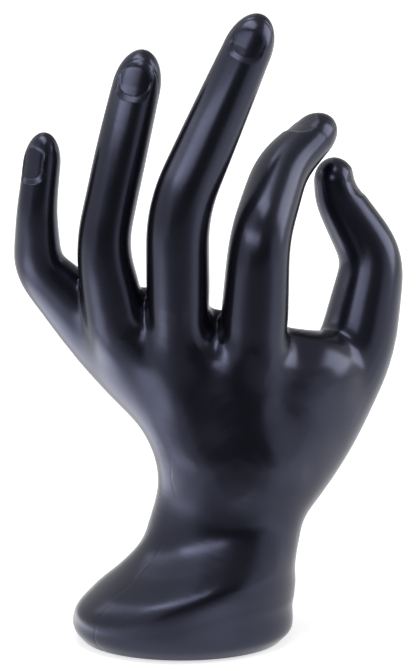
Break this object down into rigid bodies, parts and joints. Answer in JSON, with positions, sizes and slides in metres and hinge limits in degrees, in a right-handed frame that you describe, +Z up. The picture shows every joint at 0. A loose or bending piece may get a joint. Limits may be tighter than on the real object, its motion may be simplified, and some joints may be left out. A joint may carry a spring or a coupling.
{
  "type": "jewelry display hand",
  "caption": "Glossy black display hand on a flared oval foot, thumb and first finger curled into an open ring, for showing rings and bracelets.",
  "frame": {"origin": "middle of the resting face under the foot", "axes": "+Z up along the wrist and fingers, +X to the thumb's side, +Y to the palm's side, so the back of the hand faces -Y"},
  "size_m": [0.1062, 0.0615, 0.1699],
  "materials": {
    "shell_gloss_black": "smooth satin gloss, blue-black",
    "plate_black": "fine moulded grain",
    "ballast_iron": "raw cast",
    "pad_rubber": "firm sheet rubber, fine pebbled face",
    "screw_steel": "zinc plated"
  },
  "bodies": {
    "root": {"back_shell": "shell_gloss_black", "palm_shell": "shell_gloss_black", "base_plate": "plate_black", "ballast_bar": "ballast_iron", "base_pad": "pad_rubber", "base_screw_1": "screw_steel", "base_screw_2": "screw_steel", "base_screw_3": "screw_steel", "base_screw_4": "screw_steel"}
  },
  "joints": []
}
